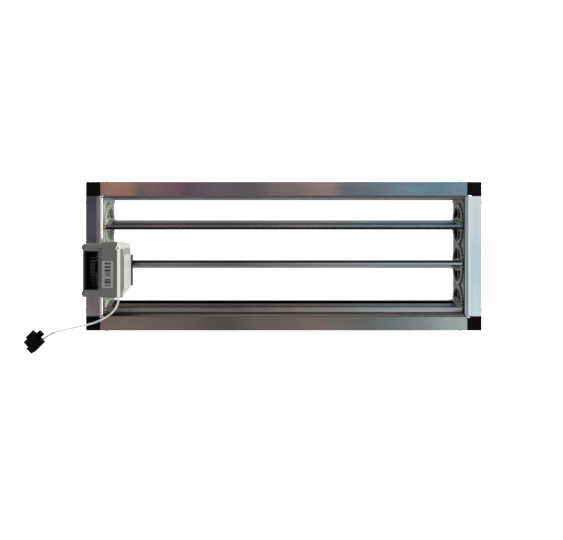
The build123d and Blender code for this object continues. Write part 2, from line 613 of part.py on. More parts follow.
def gearbox():
    """Closed reduction gear on the output shaft, inside the case."""
    length, height, depth = GEARBOX
    body = box(GEARBOX_X, GEARBOX_X + length, DRIVE_Y - height / 2, DRIVE_Y + height / 2,
               DRIVE_Z - depth / 2, DRIVE_Z + depth / 2)
    body = fillet(body.edges().filter_by(Axis.X), CASE_EDGE)
    return body - shaft_bore(GEARBOX_X - 1, SHAFT_END + GAP)


def motor():
    """Small motor can with its end cap and terminals' boss, on top of the gearbox."""
    x = GEARBOX_X + GEARBOX[0] / 2
    z = DRIVE_Z + GEARBOX[2] / 2 + MOTOR_R + SNUG
    can = rod_y(x, DRIVE_Y - MOTOR_LENGTH / 2, DRIVE_Y + MOTOR_LENGTH / 2, z, MOTOR_R)
    return can + rod_y(x, DRIVE_Y + MOTOR_LENGTH / 2, DRIVE_Y + MOTOR_LENGTH / 2 + WALL, z, MOTOR_R / 2)


COVER_FOOT = CASE_RIGHT + COVER_BAND              # where the cover's slope starts
COVER_TOP = COVER_FOOT + COVER_RISE
PAD_TOP = DRIVE_Y + PLATFORM_UP
PAD_BOTTOM = DRIVE_Y - PLATFORM_DOWN
PAD_FRONT = CASE_FRONT - PLATFORM_INSET
PAD_REAR = DEPTH + PLATFORM_REAR
LUG = (CASE_RIGHT + LUG_INSET, DRIVE_Y + LUG_UP)


def cover():
    """Lid of the case: straight band, rim, sloping sides with ribs, and a raised pad."""
    w = CASE_WALL
    body = along_x(case_outline(), CASE_RIGHT, COVER_FOOT)
    grow = 2 * COVER_RISE
    low = case_outline(COVER_RIM)
    high = rect(PAD_BOTTOM - GAP, PAD_TOP + GAP, PAD_REAR - STRIP_WIDTH - GAP, PAD_FRONT + GAP)
    high = fillet(high.vertices(), COVER_RISE / 2)
    plane = Plane(origin=(0, 0, 0), x_dir=(0, 1, 0), z_dir=(1, 0, 0))
    front, rear = CASE_FRONT - COVER_RIM, DEPTH + COVER_RIM
    points = [(PAD_BOTTOM - 2 * grow, front), (CASE_TOP - grow, front),
              (CASE_TOP - CASE_DRAFT_UP - COVER_RIM, rear), (CASE_BOTTOM + CASE_DRAFT_DOWN + COVER_RIM, rear)]
    foot = make_face(Polyline(*points, close=True))
    slope = loft([plane.offset(COVER_FOOT) * foot, plane.offset(COVER_TOP) * high])
    body += slope & along_x(low, COVER_FOOT - 1, COVER_TOP + 1)
    pad = rect(PAD_BOTTOM, PAD_TOP, PAD_REAR, PAD_FRONT)
    body += along_x(fillet(pad.vertices(), COVER_RISE / 2), COVER_TOP, COVER_TOP + PLATFORM)
    middle = (PAD_REAR + PAD_FRONT) / 2
    for i in range(RIB_COUNT):
        z = middle + RIB_PITCH * (i - (RIB_COUNT - 1) / 2)
        body += box(COVER_FOOT, COVER_TOP, PAD_TOP, CASE_TOP - grow, z - RIB / 2, z + RIB / 2)
    body -= along_x(case_outline(w), CASE_RIGHT - 1, COVER_FOOT - w)
    body -= box(CASE_RIGHT, COVER_TOP - w + PLATFORM, PAD_BOTTOM + w, PAD_TOP - w, PAD_REAR + w, PAD_FRONT - w)
    body += gland_pad(CASE_RIGHT, COVER_FOOT)
    body += rod_z(LUG[0], LUG[1], CASE_FRONT, CASE_FRONT + LUG_HEIGHT, LUG_R)
    post = rod_z(LUG[0], LUG[1], CASE_FRONT - SCREW_LENGTH, CASE_FRONT, LUG_R)
    body += post & box(CASE_RIGHT, COVER_FOOT, CASE_BOTTOM, CASE_TOP, DEPTH, CASE_FRONT)
    body -= lug_screw(SNUG)
    return body - gland_hole()


def rod_z(x, y, z0, z1, r):
    """Cylinder along Z."""
    return Pos(x, y, (z0 + z1) / 2) * Cylinder(r, abs(z1 - z0))


def lug_screw(clearance=0.0):
    """Sunk screw of the cover's lug; with a clearance it is the hole for it."""
    top = CASE_FRONT + LUG_HEIGHT
    head_low = CASE_FRONT + SNUG
    screw = rod_z(LUG[0], LUG[1], head_low - clearance, top + clearance, SCREW_HEAD_R + clearance)
    screw += rod_z(LUG[0], LUG[1], CASE_FRONT - SCREW_LENGTH + SCREW_R, head_low, SCREW_R / 2 + clearance)
    if not clearance:
        screw -= Pos(LUG[0], LUG[1], top) * Box(SCREW_HEAD_R * 1.2, SCREW_R / 2, LUG_HEIGHT)
        screw -= Pos(LUG[0], LUG[1], top) * Box(SCREW_R / 2, SCREW_HEAD_R * 1.2, LUG_HEIGHT)
    return screw


def cover_strip():
    """Black sealing strip along the rear edge of the cover's pad."""
    body = box(COVER_TOP, COVER_FOOT + STRIP + COVER_RISE, PAD_BOTTOM, PAD_TOP,
               PAD_REAR - STRIP_WIDTH, PAD_REAR - GAP)
    return fillet(body.edges().filter_by(Axis.Y), GAP)


def label():
    """Foil beside the yoke on the case's front."""
    y = DRIVE_Y - LABEL_DROP
    left = CASE_SEAM + GAP
    return box(left, left + LABEL_WIDTH, y - LABEL_LENGTH / 2, y + LABEL_LENGTH / 2,
               CASE_FRONT, CASE_FRONT + LABEL_THICKNESS)


FOOT_X = CASE_LEFT - END_PLATE                    # middle of the foot bracket
FOOT_Y = YOKE_TOP + SNUG + FOOT + (FOOT_REACH - FOOT) / 2


def foot_bracket():
    """Bent sheet foot: one leg on the flange, the other up the yoke's arm."""
    left, right = CASE_LEFT + GAP - FOOT_WIDTH / 2, CASE_LEFT + GAP + FOOT_WIDTH
    y0 = YOKE_TOP + SNUG
    body = box(FOOT_X - FOOT_WIDTH / 2, right, y0, y0 + FOOT_REACH, DEPTH, DEPTH + FOOT)
    body += box(left + FOOT_WIDTH / 2, right, y0, y0 + FOOT, DEPTH, DEPTH + FOOT_HEIGHT)
    return body - foot_screw(SNUG)


def foot_screw(clearance=0.0):
    """Pan-head screw through the foot into the flange; with a clearance it is the hole."""
    screw = rod_z(FOOT_X, FOOT_Y, DEPTH - CHAMBER_DEPTH / 2, DEPTH + FOOT, FOOT_SCREW_R + clearance)
    if clearance:
        return screw
    return screw + rod_z(FOOT_X, FOOT_Y, DEPTH + FOOT, DEPTH + 2 * FOOT, FOOT_SCREW_R * 1.8)


def grommet():
    """Rubber sleeve with a groove, where the cable leaves the case."""
    low, lip = CASE_BOTTOM + CASE_WALL, GROMMET_R + GROMMET_LIP
    sleeve = rod_y(CORD_X, CASE_BOTTOM, low, CORD_Z, GROMMET_R - SNUG)
    sleeve += rod_y(CORD_X, CASE_BOTTOM - GROMMET_LIP, CASE_BOTTOM, CORD_Z, lip)
    sleeve += rod_y(CORD_X, low, low + GROMMET_LIP, CORD_Z, lip)
    return sleeve - rod_y(CORD_X, CASE_BOTTOM - 3, low + 3, CORD_Z, CORD_R + SNUG)


# ---- cable ----
JACKET = [
    (-380.0, -82.0, 200.0), (-380.0, -99.0, 200.0), (-386.0, -113.5, 192.0), (-397.0, -126.5, 181.0),
    (-414.0, -139.5, 172.0), (-440.8, -153.4, 158.0), (-469.0, -162.7, 139.5), (-497.0, -171.0, 116.0),
    (-523.0, -179.5, 84.0), (-547.0, -187.5, 50.0), (-567.0, -194.5, 22.0), (-584.0, -200.5, 9.0),
]
CORES = {
    "cable_core_red": [(-585.0, -199.7, 8.4), (-602.3, -206.6, 8.0), (-618.2, -218.3, 8.5)],
    "cable_core_black": [(-584.4, -201.8, 8.4), (-601.4, -208.9, 8.0), (-616.8, -220.2, 8.5)],
}


def tube(route, radius):
    """Straight runs joined by tangent arcs, each as large as its two runs allow."""
    points = [Vector(*p) for p in route]
    runs = [b - a for a, b in zip(points, points[1:])]
    radii = []
    for before, after in zip(runs, runs[1:]):
        half_turn = radians(before.get_angle(after) / 2)
        radii.append(0.45 * min(before.length, after.length) / tan(half_turn))
    path = FilletPolyline(*points, radius=radii)
    start = Plane(origin=path @ 0, z_dir=path % 0)
    solid = sweep(start * Circle(radius), path=path)
    print("tube", "length", round(path.length, 1), "volume share",
          round(solid.volume / (pi * radius ** 2 * path.length), 4), "radii", [round(r) for r in radii])
    return solid


# ---- plug ----
def on_plug(solid):
    return Pos(PLUG_PLACE[0], PLUG_PLACE[1], 0) * Rot(0, 0, PLUG_ANGLE) * solid


def plug_body():
    """Plug housing: stepped shell with a side fin, a key rib on top and its nose in front."""
    x0, x1 = -PLUG_LENGTH / 2, PLUG_LENGTH / 2
    half = PLUG_WIDTH / 2
    body = box(x0, x1, -half, half, 0, PLUG_HEIGHT)
    body = chamfer(body.edges().filter_by(Axis.X), PLUG_WALL / 2)
    fin_length, fin_reach, fin_height = PLUG_FIN
    body += box(x1 - fin_length, x1, half, half + fin_reach, PLUG_WALL, PLUG_WALL + fin_height)
    nose_length, nose_width, nose_height = PLUG_NOSE
    low = -half + PLUG_WALL
    body += box(x0 - nose_length, x0, low, low + nose_width, PLUG_WALL, PLUG_WALL + nose_height)
    body -= box(x0 - nose_length - 1, x0, low + PLUG_WALL, low + nose_width - PLUG_WALL,
                2 * PLUG_WALL, nose_height)
    body += box(x0, x1 - PLUG_WALL, -PLUG_WALL, PLUG_WALL, PLUG_HEIGHT, PLUG_HEIGHT + PLUG_WALL)
    return on_plug(body)


def plug_latch():
    """Block beside the wires, at the back of the plug."""
    length, width, height = PLUG_LATCH
    x0 = PLUG_LENGTH / 2
    block = box(x0, x0 + length, -width / 2, width / 2, PLUG_WALL, PLUG_WALL + height)
    return on_plug(Pos(0, PLUG_WALL * 2, 0) * chamfer(block.edges().filter_by(Axis.X), PLUG_WALL / 2))


NODES = {}
for name in SIDES:
    NODES["profile_" + name] = side_profile(name)
for x_name, x_sign in (("left", -1), ("right", 1)):
    for y_name, y_sign in (("top", 1), ("bottom", -1)):
        NODES[f"corner_{y_name}_{x_name}"] = corner_piece(x_sign, y_sign)
    NODES["cheek_" + x_name] = cheek(x_name)
NODES["frame_screws"] = frame_screws()
NODES["filler_strip"] = filler_strip()
for index, blade_name in enumerate(BLADE_NAME):
    NODES["blade_" + blade_name] = blade(index)
    for edge_name in ("front", "rear"):
        NODES[f"seal_{blade_name}_{edge_name}"] = seal(index, edge_name)
    for side_name in ("left", "right"):
        NODES[f"gear_{blade_name}_{side_name}"] = blade_gear(index, side_name)
        NODES[f"bush_{blade_name}_{side_name}"] = bush(side_name, BLADE_Y[index])
NODES["drive_gear"] = drive_gear()
NODES["output_shaft"] = output_shaft()
NODES["gear_yoke"] = gear_yoke()
NODES["gear_carrier"] = gear_carrier()
NODES["housing"] = housing()
NODES["gearbox"] = gearbox()
NODES["motor"] = motor()
NODES["end_plate"] = end_plate()
NODES["end_bolts"] = end_bolts()
NODES["cover"] = cover()
NODES["cover_strip"] = cover_strip()
NODES["cover_screw"] = lug_screw()
NODES["foot_bracket"] = foot_bracket()
NODES["foot_screw"] = foot_screw()
NODES["label"] = label()
NODES["grommet"] = grommet()
NODES["cable_jacket"] = tube(JACKET, CORD_R)
for name, route in CORES.items():
    NODES[name] = tube(route, CORE_R)
NODES["plug_body"] = plug_body()
NODES["plug_latch"] = plug_latch()

os.makedirs("parts", exist_ok=True)
for name, solid in NODES.items():
    export_step(solid, f"parts/{name}.step")
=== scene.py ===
import math
import bmesh
import bpy
from mathutils import Matrix, Vector


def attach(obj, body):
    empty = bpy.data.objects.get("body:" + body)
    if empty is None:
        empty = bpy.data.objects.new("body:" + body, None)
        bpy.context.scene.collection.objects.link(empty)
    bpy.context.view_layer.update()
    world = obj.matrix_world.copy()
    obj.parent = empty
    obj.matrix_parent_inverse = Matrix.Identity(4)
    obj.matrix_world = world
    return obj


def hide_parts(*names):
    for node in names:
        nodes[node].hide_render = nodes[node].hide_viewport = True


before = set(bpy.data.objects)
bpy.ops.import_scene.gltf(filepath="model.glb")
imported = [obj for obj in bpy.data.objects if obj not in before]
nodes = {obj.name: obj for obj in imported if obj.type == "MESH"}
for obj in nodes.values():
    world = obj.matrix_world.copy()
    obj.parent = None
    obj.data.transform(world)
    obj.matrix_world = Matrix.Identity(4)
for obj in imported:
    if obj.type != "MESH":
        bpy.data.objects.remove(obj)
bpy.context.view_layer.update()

# ---- Studio ----
# The damper lies on its back on a white table, and is looked at from straight above.
# Broad soft lamps stand on its right and beyond it, and a weak one fills in from the left.
VIEW_POINT = (-0.0055, 0.0918, 1.894)
camera_data = bpy.data.cameras.new("camera")
camera_data.sensor_width = 36.0
camera_data.lens = 47.1
camera_data.shift_y = -0.0924
camera = bpy.data.objects.new("camera", camera_data)
camera.location = VIEW_POINT
bpy.context.scene.collection.objects.link(camera)
bpy.context.scene.camera = camera
bpy.context.scene.view_settings.view_transform = "Standard"


def add(tree, kind, settings=None, **values):
    """One shader node; a value is a number, a colour or the socket that feeds it."""
    node = tree.nodes.new("ShaderNode" + kind)
    for key, value in (settings or {}).items():
        setattr(node, key, value)
    for key, value in values.items():
        number = key[1:] if key[0] == "n" and key[1:].isdigit() else None
        socket = node.inputs[int(number)] if number else node.inputs[key.replace("_", " ")]
        if isinstance(value, bpy.types.NodeSocket):
            tree.links.new(value, socket)
        else:
            socket.default_value = value
    return node


def maths(tree, operation, a, b=0.0):
    """Result of one arithmetic step."""
    return add(tree, "Math", {"operation": operation}, n0=a, n1=b).outputs[0]


def link(tree, source, node, name):
    """Feeds a node's named input."""
    tree.links.new(source, node.inputs[name])


world = bpy.data.worlds.new("studio")
bpy.context.scene.world = world
world.use_nodes = True
sky = world.node_tree
sky.nodes.clear()
rays = add(sky, "LightPath")
seen = maths(sky, "MAXIMUM", rays.outputs["Is Camera Ray"], rays.outputs["Is Transmission Ray"])
seen = maths(sky, "MAXIMUM", seen, rays.outputs["Is Glossy Ray"])
SKY_LIGHT, SKY_SEEN = 0.3, 1.0     # strength that lights the damper, and that shows behind and in it
level = add(sky, "MapRange", None, Value=seen, To_Min=SKY_LIGHT, To_Max=SKY_SEEN)
background = add(sky, "Background", None, Color=(1, 1, 1, 1), Strength=level.outputs[0])
sky_out = add(sky, "OutputWorld")
link(sky, background.outputs[0], sky_out, "Surface")


def lamp(name, place, target, size, power):
    """Rectangular soft lamp that points at the target, in metres and watts."""
    data = bpy.data.lights.new(name, "AREA")
    data.shape = "RECTANGLE"
    data.size, data.size_y = size
    data.energy = power
    light = bpy.data.objects.new(name, data)
    light.location = place
    light.rotation_euler = (Vector(target) - Vector(place)).to_track_quat("-Z", "Y").to_euler()
    bpy.context.scene.collection.objects.link(light)


lamp("lamp_right", (2.7, 0.2, 1.05), (0, 0, 0.05), (2.2, 1.4), 70)
lamp("lamp_far", (0.3, 2.5, 2.3), (0, 0, 0.05), (2.4, 1.4), 70)
lamp("lamp_left", (-1.9, -1.1, 0.8), (-0.45, -0.15, 0.08), (0.8, 0.8), 16)

FLOOR = 6.0                        # half the table's side
FLOOR_DROP = 0.0006                # so that it stays clear of the rear flange
FLOOR_GLOW = 0.94                  # level at which the table shows
floor_mesh = bpy.data.meshes.new("floor")
floor_mesh.from_pydata([(-FLOOR, -FLOOR, 0), (FLOOR, -FLOOR, 0), (FLOOR, FLOOR, 0), (-FLOOR, FLOOR, 0)], [],
                       [(0, 1, 2, 3)])
floor = bpy.data.objects.new("floor", floor_mesh)
floor.location.z = -FLOOR_DROP
bpy.context.scene.collection.objects.link(floor)
white = bpy.data.materials.new("white_table")
white.use_nodes = True
tree = white.node_tree
tree.nodes.clear()
rays = add(tree, "LightPath")
shown = maths(tree, "MAXIMUM", rays.outputs["Is Camera Ray"], rays.outputs["Is Glossy Ray"])
shade = add(tree, "BsdfDiffuse", None, Color=(0.8, 0.8, 0.8, 1))
glow = add(tree, "Emission", None, Color=(1, 1, 1, 1), Strength=maths(tree, "MULTIPLY", shown, FLOOR_GLOW))
both = add(tree, "AddShader", None, n0=shade.outputs[0], n1=glow.outputs[0])
out = add(tree, "OutputMaterial")
link(tree, both.outputs[0], out, "Surface")
floor_mesh.materials.append(white)


# ---- Cable ----
# A white round cable with two cores leaves the case through a rubber grommet, comes down over
# the frame's corner and lies on the table. Its jacket is stripped before the plug.
def srgb(*levels):
    """Linear colour of display levels from 0 to 255."""
    def one(v):
        v /= 255
        return v / 12.92 if v <= 0.04045 else ((v + 0.055) / 1.055) ** 2.4
    return tuple(one(v) for v in levels) + (1.0,)


def material(name, colour, roughness, metallic=0.0, **sockets):
    """Material with one Principled shader; returns it with its tree and shader."""
    made = bpy.data.materials.new(name)
    made.use_nodes = True
    made.node_tree.nodes.clear()
    shader = add(made.node_tree, "BsdfPrincipled", None, Base_Color=colour, Roughness=roughness,
                 Metallic=metallic, **sockets)
    surface = add(made.node_tree, "OutputMaterial")
    link(made.node_tree, shader.outputs[0], surface, "Surface")
    return made, made.node_tree, shader


def group(name, inputs, outputs):
    """Empty shader group with its interface; returns the tree and both end nodes."""
    made = bpy.data.node_groups.new(name, "ShaderNodeTree")
    for label, kind, default in inputs:
        socket = made.interface.new_socket(label, in_out="INPUT", socket_type="NodeSocket" + kind)
        if default is not None:
            socket.default_value = default
    for label, kind in outputs:
        made.interface.new_socket(label, in_out="OUTPUT", socket_type="NodeSocket" + kind)
    return made, made.nodes.new("NodeGroupInput"), made.nodes.new("NodeGroupOutput")


# Fine unevenness of a moulded or painted skin, with a mask of handling marks.
grain, ends_in, ends_out = group("skin_grain", [("Size", "Float", 900.0), ("Marks", "Float", 12.0),
                                                ("Depth", "Float", 0.1)],
                                 [("Normal", "Vector"), ("Mark", "Float"), ("Speckle", "Float")])
place = add(grain, "TexCoord").outputs["Object"]
fine = add(grain, "TexNoise", None, Vector=place, Scale=ends_in.outputs["Size"], Detail=2.0, Roughness=0.6)
broad = add(grain, "TexNoise", None, Vector=place, Scale=ends_in.outputs["Marks"], Detail=5.0, Roughness=0.65)
relief = add(grain, "Bump", None, Strength=ends_in.outputs["Depth"], Distance=0.0002, Height=fine.outputs[0])
mark = add(grain, "MapRange", None, Value=broad.outputs[0], From_Min=0.42, From_Max=0.68)
grain.links.new(relief.outputs[0], ends_out.inputs["Normal"])
grain.links.new(mark.outputs[0], ends_out.inputs["Mark"])
grain.links.new(fine.outputs[0], ends_out.inputs["Speckle"])


def mix(tree, factor, a, b, blend="MIX"):
    """Colour between two colours."""
    node = add(tree, "Mix", {"data_type": "RGBA", "blend_type": blend})
    for index, value in ((0, factor), (6, a), (7, b)):
        if isinstance(value, bpy.types.NodeSocket):
            tree.links.new(value, node.inputs[index])
        else:
            node.inputs[index].default_value = value
    return node.outputs[2]


def skin(name, colour, worn, roughness, size=900.0, depth=0.1, marks=12.0, **sockets):
    """Moulded or painted finish: grained, with marks where the colour turns to worn."""
    made, tree, shader = material(name, colour, roughness, **sockets)
    look = add(tree, "Group", {"node_tree": grain}, Size=size, Marks=marks, Depth=depth)
    link(tree, mix(tree, look.outputs["Mark"], colour, worn), shader, "Base Color")
    rough = add(tree, "MapRange", None, Value=look.outputs["Mark"], To_Min=roughness, To_Max=roughness + 0.12)
    link(tree, rough.outputs[0], shader, "Roughness")
    link(tree, look.outputs["Normal"], shader, "Normal")
    return made


def opened(finish):
    """A finish's tree and shader, and the colour that feeds it."""
    tree = finish.node_tree
    shader = next(node for node in tree.nodes if node.type == "BSDF_PRINCIPLED")
    return tree, shader, shader.inputs["Base Color"].links[0].from_socket


def spot(tree):
    """X, Y and Z of the place on the piece, in metres."""
    return add(tree, "SeparateXYZ", None, Vector=add(tree, "TexCoord").outputs["Object"]).outputs


def paint(obj, finish):
    """Every slot of an object gets one material."""
    if not obj.material_slots:
        obj.data.materials.append(finish)
    for slot in obj.material_slots:
        slot.material = finish


def cord_curve(name, route, diameter, finish):
    """Cable: one open spline that the route's points control."""
    data = bpy.data.curves.new(name, "CURVE")
    data.dimensions = "3D"
    spline = data.splines.new("NURBS")
    spline.points.add(len(route) - 1)
    for point, xyz in zip(spline.points, route):
        point.co = (*xyz, 1.0)
    spline.order_u = 3
    spline.use_endpoint_u = True
    spline.resolution_u = 16
    data.bevel_depth = diameter / 2
    data.bevel_resolution = 8
    data.use_fill_caps = True
    curve = bpy.data.objects.new(name, data)
    bpy.context.scene.collection.objects.link(curve)
    data.materials.append(finish)
    return curve


JACKET_D = 0.0046
CORE_D = 0.0017
CORE_LOOKS = {"red": (172, 4, 30), "black": (40, 6, 14)}
JACKET = [
    (-0.380, -0.082, 0.200), (-0.380, -0.099, 0.200), (-0.386, -0.1135, 0.192), (-0.397, -0.1265, 0.181),
    (-0.414, -0.1395, 0.172), (-0.4408, -0.1534, 0.158), (-0.469, -0.1627, 0.1395), (-0.497, -0.171, 0.116),
    (-0.523, -0.1795, 0.084), (-0.547, -0.1875, 0.050), (-0.567, -0.1945, 0.022), (-0.584, -0.2005, 0.009),
]
CORE_ROUTES = {
    "red": [(-0.585, -0.1997, 0.0084), (-0.6023, -0.2066, 0.008), (-0.6182, -0.2183, 0.0085)],
    "black": [(-0.5844, -0.2018, 0.0084), (-0.6014, -0.2089, 0.008), (-0.6168, -0.2202, 0.0085)],
}
cable_white = skin("cable_white", srgb(226, 227, 224), srgb(205, 205, 200), 0.42, size=500, depth=0.05,
                   marks=30)
jacket = cord_curve("cable", JACKET, JACKET_D, cable_white)
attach(jacket, "frame")
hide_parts("cable_jacket")
for colour_name, levels in CORE_LOOKS.items():
    finish = skin("core_" + colour_name, srgb(*levels), srgb(*[v * 0.8 for v in levels]), 0.45, size=500,
                  Specular_IOR_Level=0.1)
    core = cord_curve("core_" + colour_name, CORE_ROUTES[colour_name], CORE_D, finish)
    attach(core, "frame")
    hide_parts("cable_core_" + colour_name)

# ---- Frame profiles ----
# Four extruded aluminium C profiles. Their mill finish shows fine lines along the extrusion.
# The broad tints along each profile are painted reflections, and the edge bands are painted highlights and
# shade.
lines, ends_in, ends_out = group("extrusion_lines", [("Across", "Vector", (1.0, 300.0, 300.0)),
                                                     ("Depth", "Float", 0.15)],
                                 [("Normal", "Vector"), ("Line", "Float"), ("Stain", "Float")])
place = add(lines, "TexCoord").outputs["Object"]
stretched = add(lines, "VectorMath", {"operation": "MULTIPLY"}, n0=place, n1=ends_in.outputs["Across"])
stripe = add(lines, "TexNoise", None, Vector=stretched.outputs[0], Scale=4.0, Detail=4.0, Roughness=0.7)
stain_and_sheen = add(lines, "TexNoise", None, Vector=place, Scale=6.0, Detail=4.0, Roughness=0.55)
relief = add(lines, "Bump", None, Strength=ends_in.outputs["Depth"], Distance=0.0002,
             Height=stripe.outputs[0])
lines.links.new(relief.outputs[0], ends_out.inputs["Normal"])
lines.links.new(stripe.outputs[0], ends_out.inputs["Line"])
lines.links.new(stain_and_sheen.outputs[0], ends_out.inputs["Stain"])


def ramp(tree, value, stops, interpolation="LINEAR"):
    """Colours along a measured value; a stop is (metres, display levels) or has an amount as well."""
    first, last = stops[0][0], stops[-1][0]
    share = add(tree, "MapRange", None, Value=value, From_Min=first, From_Max=last)
    node = add(tree, "ValToRGB", None, Fac=share.outputs[0])
    band = node.color_ramp
    band.interpolation = interpolation
    while len(band.elements) < len(stops):
        band.elements.new(0.5)
    for element, (metres, levels, *amount) in zip(band.elements, stops):
        element.position = (metres - first) / (last - first)
        element.color = srgb(*levels)[:3] + (amount[0] if amount else 1.0,)
    return node


FLANGE_BACK = (0.098, 0.112)       # heights between which the flange's painted reflection tints fade into the web


def aluminium(name, along, stops, edge=None, plain=None, roughness=0.34, contrast=0.2, shift=0.05, **sockets):
    """Mill-finish aluminium: tints along the piece as painted reflections, edge tints (an axis with its
    stops) across it as painted highlights and shade, and a plain tint further back than the front flange."""
    made, tree, shader = material(name, (0.5, 0.5, 0.5, 1), roughness, metallic=1.0, **sockets)
    across = (1.0, 300.0, 300.0) if along == "X" else (300.0, 1.0, 300.0)
    look = add(tree, "Group", {"node_tree": lines}, Across=across, Depth=0.12)
    where = spot(tree)
    wobble = maths(tree, "MULTIPLY", maths(tree, "SUBTRACT", look.outputs["Stain"], 0.5), shift)
    colour = ramp(tree, maths(tree, "ADD", where[along], wobble), stops).outputs["Color"]
    if edge:
        trim = ramp(tree, where[edge[0]], edge[1])
        colour = mix(tree, trim.outputs["Alpha"], colour, trim.outputs["Color"])
    if plain:
        front = add(tree, "MapRange", None, Value=where["Z"], From_Min=FLANGE_BACK[0],
                    From_Max=FLANGE_BACK[1])
        colour = mix(tree, front.outputs[0], srgb(*plain), colour)
    light = add(tree, "MapRange", None, Value=look.outputs["Line"], From_Min=0.25, From_Max=0.75,
                To_Min=1.0 - contrast, To_Max=1.0 + contrast)
    tint = add(tree, "VectorMath", {"operation": "SCALE"}, n0=colour)
    tree.links.new(light.outputs[0], tint.inputs["Scale"])
    link(tree, tint.outputs[0], shader, "Base Color")
    rough = add(tree, "MapRange", None, Value=look.outputs["Stain"], To_Min=roughness - 0.08,
                To_Max=roughness + 0.08)
    link(tree, rough.outputs[0], shader, "Roughness")
    link(tree, look.outputs["Normal"], shader, "Normal")
    return made


EDGE_SOFTNESS = 0.0002             # of the border between two tints
EDGE_BEYOND = 0.02                 # how far the last tint reaches


def edge_bands(axis, points):
    """Sharp edge tints: (metres, display levels or None for the body's own tint)."""
    stops = []
    for metres, levels in points:
        if stops:
            stops.append((metres, *stops[-1][1:]))
        stops.append((metres + EDGE_SOFTNESS, levels or (128, 128, 128), 1.0 if levels else 0.0))
    return axis, stops + [(points[-1][0] + EDGE_BEYOND, *stops[-1][1:])]


PROFILE_LOOKS = {
    "top": {
        "along": "X", "plain": (124, 124, 125),
        "stops": [(-0.44, (120, 103, 96)), (-0.415, (144, 108, 94)), (-0.375, (142, 104, 90)),
                  (-0.350, (106, 88, 88)), (-0.315, (107, 90, 91)), (-0.285, (111, 81, 90)),
                  (-0.262, (106, 80, 90)), (-0.235, (90, 73, 84)), (-0.16, (92, 86, 90)),
                  (-0.075, (86, 83, 86)), (-0.02, (106, 97, 96)), (0.03, (109, 99, 98)),
                  (0.08, (126, 110, 110)), (0.115, (126, 112, 112)), (0.15, (96, 96, 102)),
                  (0.20, (94, 104, 110)), (0.24, (98, 114, 122)), (0.31, (98, 126, 138)),
                  (0.38, (90, 120, 131)), (0.44, (106, 128, 137))],
        "edge": edge_bands("Y", [(0.1367, (205, 205, 207)), (0.1396, (82, 81, 82)), (0.1459, None)])},
    "bottom": {
        "along": "X", "plain": (122, 121, 119),
        "stops": [(-0.44, (108, 95, 89)), (-0.38, (108, 96, 91)), (-0.31, (100, 89, 87)),
                  (-0.23, (94, 86, 84)), (-0.17, (82, 77, 73)), (-0.12, (80, 76, 72)), (-0.07, (96, 89, 86)),
                  (0.02, (100, 92, 89)), (0.09, (110, 99, 95)), (0.14, (102, 100, 98)), (0.20, (98, 98, 98)),
                  (0.27, (104, 112, 112)), (0.33, (120, 126, 126)), (0.39, (144, 152, 152)),
                  (0.44, (150, 158, 156))],
        "edge": edge_bands("Y", [(-0.179, None), (-0.1463, (80, 78, 75)), (-0.1443, (58, 55, 52)),
                                 (-0.1387, (122, 114, 110))])},
    "left": {
        "along": "Y", "plain": (118, 117, 118),
        "stops": [(-0.15, (112, 106, 106)), (-0.09, (97, 92, 91)), (-0.02, (90, 86, 88)),
                  (0.04, (72, 70, 78)), (0.11, (70, 69, 78)), (0.13, (62, 60, 65)), (0.15, (66, 64, 70))],
        "edge": edge_bands("X", [(-0.476, None), (-0.4503, (108, 101, 107)), (-0.4430, (112, 97, 106)),
                                 (-0.4415, (180, 176, 175)), (-0.4378, (146, 145, 142)),
                                 (-0.4352, (150, 150, 144))])},
    "right": {
        "along": "Y", "plain": (128, 133, 136),
        "stops": [(-0.15, (189, 204, 209)), (-0.06, (171, 195, 203)), (0.02, (172, 193, 200)),
                  (0.08, (183, 196, 202)), (0.15, (192, 198, 204))],
        "edge": edge_bands("X", [(0.4333, (30, 37, 38)), (0.4356, (128, 136, 140)), (0.4430, (172, 182, 190)),
                                 (0.4445, (198, 208, 215)), (0.4503, None), (0.4740, (142, 150, 154))])},
}
for side, looks in PROFILE_LOOKS.items():
    paint(nodes["profile_" + side], aluminium("aluminium_" + side, **looks))
# The filler strip's tints along it are painted reflections too.
paint(nodes["filler_strip"],
      aluminium("aluminium_filler", "X", [(-0.44, (110, 110, 108)), (0.44, (120, 126, 126))]))

# The rolled beads of the side profiles end in small dressed domes, lapped over the long profiles.
BEAD_ENDS = {"bottom_left": (-0.4375, -0.1455), "top_left": (-0.4372, 0.1434),
             "bottom_right": (0.4412, -0.1466), "top_right": (0.4462, 0.1446)}
BEAD_END_HALF = (0.0056, 0.0030, 0.0034)
BEAD_END_Z = 0.1238
for corner_name, (along, across) in BEAD_ENDS.items():
    dome = bmesh.new()
    bmesh.ops.create_uvsphere(dome, u_segments=32, v_segments=16, radius=1.0)
    bmesh.ops.scale(dome, vec=BEAD_END_HALF, verts=dome.verts)
    bmesh.ops.translate(dome, vec=(along, across, BEAD_END_Z), verts=dome.verts)
    for face in dome.faces:
        face.smooth = True
    mesh = bpy.data.meshes.new("bead_end_" + corner_name)
    dome.to_mesh(mesh)
    dome.free()
    rounded = bpy.data.objects.new("bead_end_" + corner_name, mesh)
    bpy.context.scene.collection.objects.link(rounded)
    paint(rounded, nodes["profile_" + corner_name.split("_")[1]].material_slots[0].material)
    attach(rounded, "frame")
zinc = skin("zinc_plate", srgb(150, 152, 150), srgb(110, 110, 106), 0.3, size=1500, depth=0.05, metallic=1.0)
paint(nodes["frame_screws"], zinc)

# ---- Corner pieces ----
# Black glass-filled plastic corners, pushed into the profiles and held by screws.
corner_black = skin("corner_black", srgb(3, 3, 4), srgb(8, 8, 9), 0.6, size=1400, depth=0.25,
                    Specular_IOR_Level=0.03)
for name in ("corner_top_left", "corner_top_right", "corner_bottom_left", "corner_bottom_right"):
    paint(nodes[name], corner_black)
